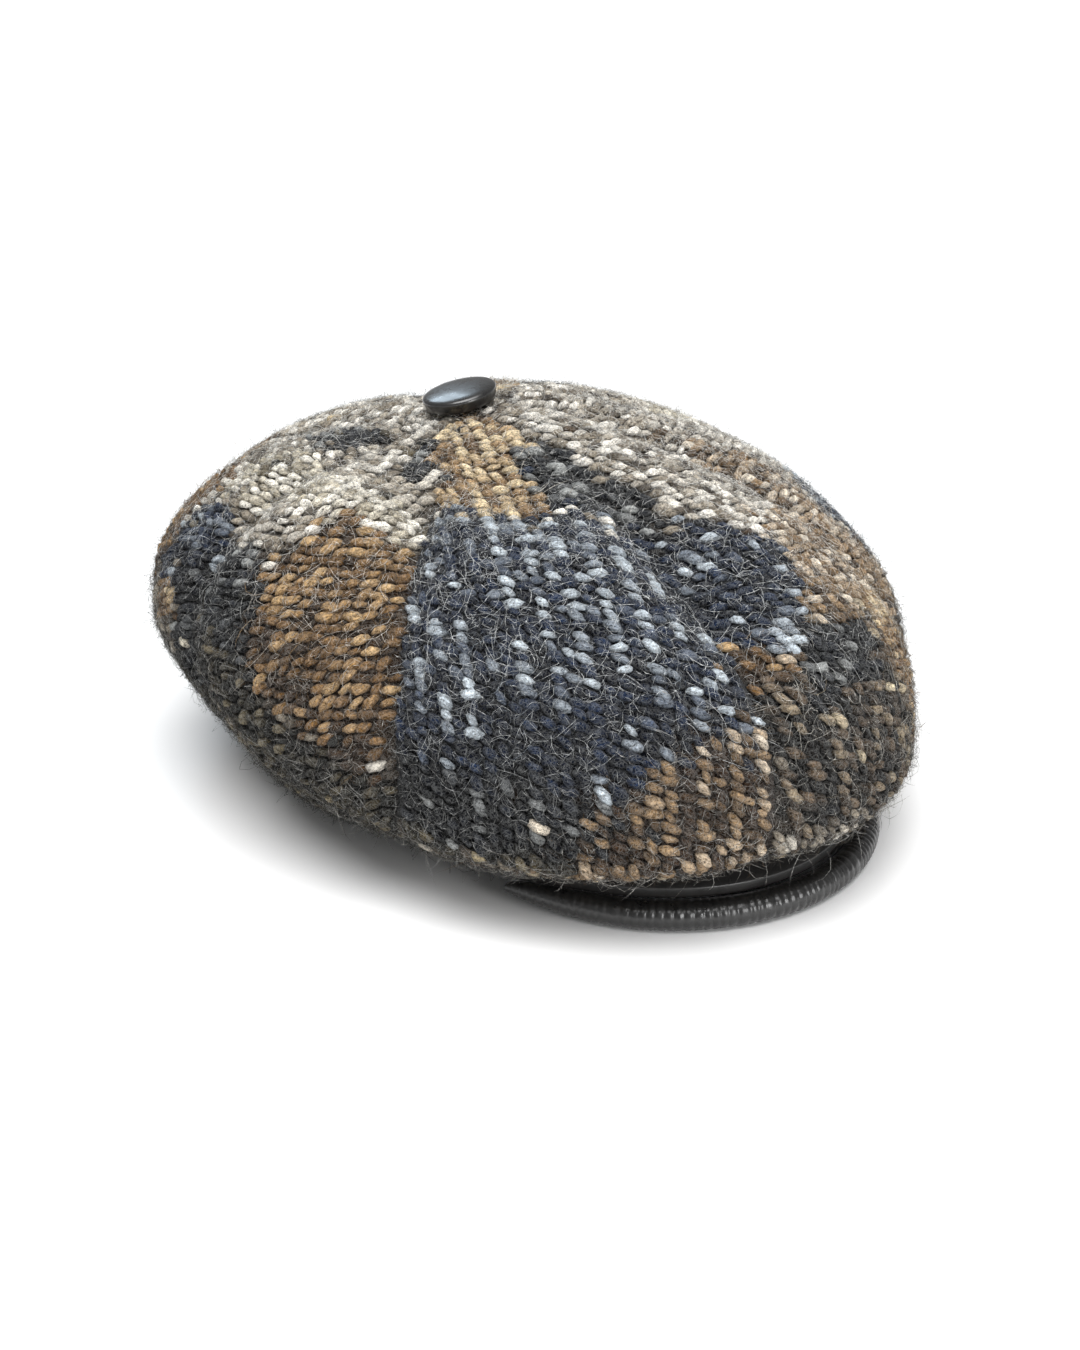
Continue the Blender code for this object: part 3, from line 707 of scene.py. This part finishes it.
def plain_cloth_material(name, colour):
    """Closely woven black cloth with a fine rib."""
    material, shader, node, link = new_material(name)
    spot = node("ShaderNodeTexCoord")
    rib = node("ShaderNodeTexWave", Scale=500.0, Distortion=1.0, bands_direction="Z")
    link(spot.outputs["Object"], rib.inputs["Vector"])
    bump = node("ShaderNodeBump", Strength=0.4, Distance=0.0003)
    link(rib.outputs["Fac"], bump.inputs["Height"])
    link(bump.outputs["Normal"], shader.inputs["Normal"])
    shader.inputs["Base Color"].default_value = (*colour, 1.0)
    shader.inputs["Roughness"].default_value = 0.85
    return material


azimuths = np.linspace(0.0, 2 * np.pi, BAND_STEPS, endpoint=False)
band_outline = []
for turn in np.linspace(0.0, 2 * np.pi, BAND_SIDES, endpoint=False):
    bulge = np.sign(np.cos(turn)) * abs(np.cos(turn)) ** 0.5
    rise = np.sign(np.sin(turn)) * abs(np.sin(turn)) ** 0.2
    band_outline.append((BAND_THICKNESS / 2 * (bulge - 1), opening_half[2] * (1 + rise)))
points = []
for azimuth in azimuths:
    for reach, z in band_outline:
        radius = oval(azimuth, opening_half[1] + reach, opening_half[0] + reach)
        x = opening_middle[0] + radius * np.sin(azimuth)
        y = opening_middle[1] - radius * np.cos(azimuth)
        points.append((x, y, z))
faces = []
for step in range(BAND_STEPS):
    for side in range(BAND_SIDES):
        here = step * BAND_SIDES
        after = (step + 1) % BAND_STEPS * BAND_SIDES
        other = (side + 1) % BAND_SIDES
        faces.append((here + side, after + side, after + other, here + other))
band_material = plain_cloth_material("band_cloth", BAND_BLACK)
band = add_piece("headband_cloth", np.array(points), faces, band_material)
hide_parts("headband")
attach(band, "root")


# Peak
# A crescent of board covered in smooth black leather, sewn to the front of the band. Only a strip of it
# shows, between the crown's overhang and the rolled edge.

PEAK_LENGTH = 0.0435
PEAK_ROUNDNESS = 0.42
PEAK_FLARE = 0.15
PEAK_END_SHARE = 0.96
ROLL_HALF_ARC = np.radians(49.0)
ROLL_END_CLEARANCE = np.radians(3.0)
ROLL_TIP_RADIUS = 0.0012
SEWN_GAP = 0.0003
PEAK_THICKNESS = 0.0035
PEAK_SAG = 0.0004
PEAK_EDGE_RADIUS = 0.0006
PEAK_COLUMNS = 90
PEAK_ROWS = 14
PEBBLE_SCALE = 1100.0
CREASE_SCALE = 260.0

peak_low, peak_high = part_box("peak")
roll_low, roll_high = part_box("peak_edge")
roll_full_radius = (roll_high[2] - roll_low[2]) / 2


def leather_material(name, grain, roughness, grey_wear_and_painted_light, gloss):
    """Black leather, worn a little grey: fine pebbled grain, small creases and a soft gloss. The peak's board gets
    a lighter copy, which is painted light.
    """
    material, shader, node, link = new_material(name)
    spot = node("ShaderNodeTexCoord")
    pebble = node("ShaderNodeTexVoronoi", Scale=PEBBLE_SCALE, feature="SMOOTH_F1", Smoothness=0.6)
    link(spot.outputs["Object"], pebble.inputs["Vector"])
    crease = node("ShaderNodeTexNoise", Scale=CREASE_SCALE, Detail=6.0, Roughness=0.6)
    link(spot.outputs["Object"], crease.inputs["Vector"])
    both = node("ShaderNodeMath", operation="MULTIPLY_ADD")
    both.inputs[1].default_value = 0.5
    link(pebble.outputs["Distance"], both.inputs[0])
    link(crease.outputs["Fac"], both.inputs[2])
    bump = node("ShaderNodeBump", Strength=grain, Distance=0.0005)
    link(both.outputs["Value"], bump.inputs["Height"])
    link(bump.outputs["Normal"], shader.inputs["Normal"])
    worn = node("ShaderNodeMapRange")
    worn.inputs["From Min"].default_value = 0.35
    worn.inputs["From Max"].default_value = 0.65
    worn.inputs["To Min"].default_value = roughness - 0.08
    worn.inputs["To Max"].default_value = roughness + 0.10
    link(crease.outputs["Fac"], worn.inputs["Value"])
    link(worn.outputs["Result"], shader.inputs["Roughness"])
    tint = node("ShaderNodeMix", data_type="RGBA")
    # Grey of wear, varied with the creases; on the peak's board this grey is set lighter as painted light.
    tint.inputs["A"].default_value = (0.6 * grey_wear_and_painted_light, 0.6 * grey_wear_and_painted_light, 0.6 * grey_wear_and_painted_light, 1.0)
    tint.inputs["B"].default_value = (1.4 * grey_wear_and_painted_light, 1.36 * grey_wear_and_painted_light, 1.32 * grey_wear_and_painted_light, 1.0)
    link(crease.outputs["Fac"], tint.inputs["Factor"])
    link(tint.outputs["Result"], shader.inputs["Base Color"])
    shader.inputs["Coat Weight"].default_value = gloss
    shader.inputs["Coat Roughness"].default_value = 0.18
    return material


def peak_outline(azimuth):
    """Outer edge of the peak, seen from above, about the middle of the opening."""
    root = oval(azimuth, opening_half[1], opening_half[0])
    width = np.maximum(0.0, np.cos(azimuth / PEAK_HALF_ARC * np.pi / 2)) ** PEAK_ROUNDNESS
    x = root * np.sin(azimuth) * (1.0 + PEAK_FLARE * width)
    y = -root * np.cos(azimuth) - PEAK_LENGTH * width
    return np.stack([x, y, 0 * x], axis=-1)


def peak_inward(azimuth):
    """Direction square to the peak's outer edge, towards the head."""
    step = 0.002
    along = peak_outline(azimuth + step) - peak_outline(azimuth - step)
    return unit(np.stack([-along[..., 1], along[..., 0], 0 * azimuth], axis=-1))


def roll_radius(azimuth):
    """Radius of the rolled edge, thin at its two ends."""
    share = np.minimum(1.0, np.abs(azimuth) / ROLL_HALF_ARC)
    return ROLL_TIP_RADIUS + (roll_full_radius - ROLL_TIP_RADIUS) * (1.0 - share**5) ** 0.6


# Painted light: the board's leather is about four times as grey as the roll's and the button's, standing for light
# on the strip that lies in the crown's shadow.
peak_leather = leather_material("peak_leather", 0.25, 0.42, 0.045, 0.5)
azimuth, out = np.meshgrid(
    np.linspace(-PEAK_END_SHARE, PEAK_END_SHARE, PEAK_COLUMNS + 1) * PEAK_HALF_ARC,
    np.linspace(0.0, 1.0, PEAK_ROWS + 1),
)
root_radius = oval(azimuth, opening_half[1] + SEWN_GAP, opening_half[0] + SEWN_GAP)
root = np.stack([root_radius * np.sin(azimuth), -root_radius * np.cos(azimuth), 0 * azimuth], axis=-1)
kept = 1.0 - smooth_step((np.abs(azimuth) - ROLL_HALF_ARC) / ROLL_END_CLEARANCE - 1.0)
clear = (2.0 * roll_radius(azimuth) + SEWN_GAP) * kept
edge = peak_outline(azimuth) + peak_inward(azimuth) * clear[..., None]
spot = root + (edge - root) * out[..., None]
spot[..., 2] = peak_high[2] - (peak_high[2] - peak_low[2] - PEAK_THICKNESS) * out - PEAK_SAG * out**4
spot += np.array([opening_middle[0], opening_middle[1], 0.0])
faces = grid_faces(PEAK_COLUMNS, PEAK_ROWS)
board = add_piece("peak_board", spot.reshape(-1, 3), faces, peak_leather)
board.data.flip_normals()
wall = board.modifiers.new("wall", "SOLIDIFY")
wall.thickness = PEAK_THICKNESS
wall.offset = -1.0
round_edge = board.modifiers.new("round_edge", "BEVEL")
round_edge.width = PEAK_EDGE_RADIUS
round_edge.segments = 2
round_edge.limit_method = "ANGLE"
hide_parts("peak")
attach(board, "root")


# Rolled edge of the peak
# The leather is gathered over a soft cord along the front of the peak, so that its roll is drawn into
# close, shallow puckers.

PUCKER_PITCH = 0.0027
PUCKER_DEPTH = 0.00055
RINGS_PER_PUCKER = 6
ROLL_SIDES = 20

fine = np.linspace(-ROLL_HALF_ARC, ROLL_HALF_ARC, 400)
roll_line = peak_outline(fine) + peak_inward(fine) * roll_radius(fine)[:, None]
roll_along = np.append(0.0, np.cumsum(np.linalg.norm(np.diff(roll_line, axis=0), axis=1)))
rings = int(roll_along[-1] / PUCKER_PITCH * RINGS_PER_PUCKER)
travel = np.linspace(0.0, roll_along[-1], rings + 1)
azimuth = np.interp(travel, roll_along, fine)
random = np.random.default_rng(7)
wander = np.interp(travel, np.linspace(0, roll_along[-1], 40), random.normal(0.0, 0.9, 40))
strength = np.interp(travel, np.linspace(0, roll_along[-1], 60), random.uniform(0.5, 1.3, 60))
wave = np.abs(np.sin(np.pi * travel / PUCKER_PITCH + wander))
radius = roll_radius(azimuth)
turns = 2 * np.pi * np.arange(ROLL_SIDES) / ROLL_SIDES
facing_out = 0.5 - 0.5 * np.cos(turns)
gather = PUCKER_DEPTH * strength[:, None] * (1 - wave)[:, None] ** 1.5 * (0.35 + 0.65 * facing_out[None, :])
radii = radius[:, None] - gather * (radius / roll_full_radius)[:, None]
low_share = smooth_step((ROLL_HALF_ARC - np.abs(azimuth)) / (ROLL_HALF_ARC * 0.5))
root_level = peak_low[2] + PEAK_THICKNESS / 2
middle = peak_outline(azimuth) + peak_inward(azimuth) * radius[:, None]
middle[:, 2] = root_level + (roll_low[2] + roll_full_radius - root_level) * low_share
middle += np.array([opening_middle[0], opening_middle[1], 0.0])
inward = peak_inward(azimuth)
upward = np.array([0.0, 0.0, 1.0])
ring_points = (
    middle[:, None]
    + inward[:, None] * (radii * np.cos(turns))[..., None]
    + upward * (radii * np.sin(turns))[..., None]
)
points = np.concatenate([ring_points.reshape(-1, 3), middle[:1], middle[-1:]])
faces = []
for ring in range(rings):
    for side in range(ROLL_SIDES):
        other = (side + 1) % ROLL_SIDES
        first, second = ring * ROLL_SIDES, (ring + 1) * ROLL_SIDES
        faces.append((first + side, first + other, second + other, second + side))
for side in range(ROLL_SIDES):
    other = (side + 1) % ROLL_SIDES
    faces.append((len(points) - 2, other, side))
    faces.append((len(points) - 1, rings * ROLL_SIDES + side, rings * ROLL_SIDES + other))
roll = add_piece("peak_roll", points, faces, leather_material("rolled_leather", 0.35, 0.34, 0.011, 0.4))
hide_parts("peak_edge")
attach(roll, "root")


# Button
# A domed metal shell covered in the same black leather, on the point where the panels meet. It leans
# with the top of the crown.

BUTTON_SIDES = 72
BUTTON_RADIUS = 0.013
BUTTON_RISE = 0.0012
BUTTON_CLEARANCE = 0.0006
MILLIMETRE = 0.001
DOME = ((0.0, 6.00), (0.20, 5.97), (0.40, 5.86), (0.60, 5.66), (0.76, 5.38), (0.87, 5.08), (0.94, 4.76))
RIM = ((0.985, 4.34), (1.0, 3.86), (0.995, 3.20), (0.97, 2.00), (0.94, 0.95), (0.91, 0.30), (0.86, 0.0), (0.0, 0.0))

shape = bmesh.new()
corners = []
for share, level in DOME + RIM:
    corners.append(shape.verts.new((share * BUTTON_RADIUS, 0.0, level * MILLIMETRE)))
for before, after in zip(corners, corners[1:]):
    shape.edges.new((before, after))
bmesh.ops.spin(
    shape,
    geom=shape.verts[:] + shape.edges[:],
    axis=(0, 0, 1),
    cent=(0, 0, 0),
    angle=2 * np.pi,
    steps=BUTTON_SIDES,
)
bmesh.ops.remove_doubles(shape, verts=shape.verts, dist=0.000001)
bmesh.ops.recalc_face_normals(shape, faces=shape.faces)
lean = Vector((
    np.sin(TOP_LEAN) * np.sin(TOP_LEAN_AZIMUTH),
    -np.sin(TOP_LEAN) * np.cos(TOP_LEAN_AZIMUTH),
    np.cos(TOP_LEAN),
))
turn = Vector((0.0, 0.0, 1.0)).rotation_difference(lean).to_matrix()
crown_tip = Vector((opening_middle[0] - APEX_RIGHT, opening_middle[1] + APEX_BACK, CROWN_HEIGHT))
seat = crown_tip + lean * (BUTTON_CLEARANCE + BUTTON_RISE)
for vertex in shape.verts:
    vertex.co = turn @ vertex.co + seat
mesh = bpy.data.meshes.new("button_cover")
shape.to_mesh(mesh)
shape.free()
mesh.shade_smooth()
mesh.materials.append(leather_material("button_leather", 0.12, 0.30, 0.012, 0.5))
button = bpy.data.objects.new("button_cover", mesh)
bpy.context.scene.collection.objects.link(button)
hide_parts("button")
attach(button, "root")


# Floor and light
# A plain white studio: a pale floor, one broad soft light overhead, a window-like one behind and a small
# one in front that give the leather its gloss, and an even white surround.

FLOOR_SIZE = 60.0
FLOOR_TONE = (0.86, 0.86, 0.86, 1.0)
SURROUND_STRENGTH = 0.30
OVERHEAD_STRENGTH = 3.9
OVERHEAD_SPREAD = np.radians(50.0)
OVERHEAD_SIDE = (-0.20, -0.25, 1.0)

mesh = bpy.data.meshes.new("floor")
half = FLOOR_SIZE / 2
mesh.from_pydata([(-half, -half, 0), (half, -half, 0), (half, half, 0), (-half, half, 0)], [], [(0, 1, 2, 3)])
floor_material, shader, node, link = new_material("floor")
shader.inputs["Base Color"].default_value = FLOOR_TONE
shader.inputs["Roughness"].default_value = 0.9
mesh.materials.append(floor_material)
floor = bpy.data.objects.new("floor", mesh)
bpy.context.scene.collection.objects.link(floor)

world = bpy.data.worlds.new("studio")
world.use_nodes = True
world.node_tree.nodes["Background"].inputs["Color"].default_value = (1.0, 1.0, 1.0, 1.0)
world.node_tree.nodes["Background"].inputs["Strength"].default_value = SURROUND_STRENGTH
bpy.context.scene.world = world
bpy.context.scene.view_settings.view_transform = "Standard"


def area_light(name, place, target, size, power, colour):
    """A square soft light that faces a point."""
    light = bpy.data.lights.new(name, "AREA")
    light.color = colour
    light.size = size
    light.energy = power
    lamp = bpy.data.objects.new(name, light)
    lamp.location = place
    lamp.rotation_euler = (Vector(target) - Vector(place)).to_track_quat("-Z", "Y").to_euler()
    bpy.context.scene.collection.objects.link(lamp)


sky = bpy.data.lights.new("overhead", "SUN")
sky.energy = OVERHEAD_STRENGTH
sky.angle = OVERHEAD_SPREAD
overhead = bpy.data.objects.new("overhead", sky)
overhead.rotation_euler = Vector(OVERHEAD_SIDE).to_track_quat("Z", "Y").to_euler()
bpy.context.scene.collection.objects.link(overhead)
area_light("window", (0.15, 0.99, 0.83), (0.0, 0.0, 0.10), 0.36, 2.5, (0.72, 0.87, 1.0))
area_light("front", (0.05, -0.95, 0.28), (0.0, -0.10, 0.02), 0.35, 3.8, (1.0, 1.0, 1.0))


# Camera
# The photograph looks down at the front of the cap from the wearer's right.
# The distance, the lens and the aim come from the fit of the cap's outline and seams.

VIEW_AZIMUTH = np.radians(-33.04)
VIEW_ELEVATION = np.radians(23.23)
VIEW_DISTANCE = 0.668
LENS = 49.2
AIM = (-0.0029, 0.0010, 0.0309)
target = Vector((opening_middle[0] + AIM[0], opening_middle[1] + AIM[1], AIM[2]))
back = Vector((
    np.sin(VIEW_AZIMUTH) * np.cos(VIEW_ELEVATION),
    -np.cos(VIEW_AZIMUTH) * np.cos(VIEW_ELEVATION),
    np.sin(VIEW_ELEVATION),
))
camera_data = bpy.data.cameras.new("camera")
camera_data.lens = LENS
camera_data.sensor_width = 36.0
camera = bpy.data.objects.new("camera", camera_data)
camera.location = target + back * VIEW_DISTANCE
camera.rotation_euler = back.to_track_quat("Z", "Y").to_euler()
bpy.context.scene.collection.objects.link(camera)
bpy.context.scene.camera = camera
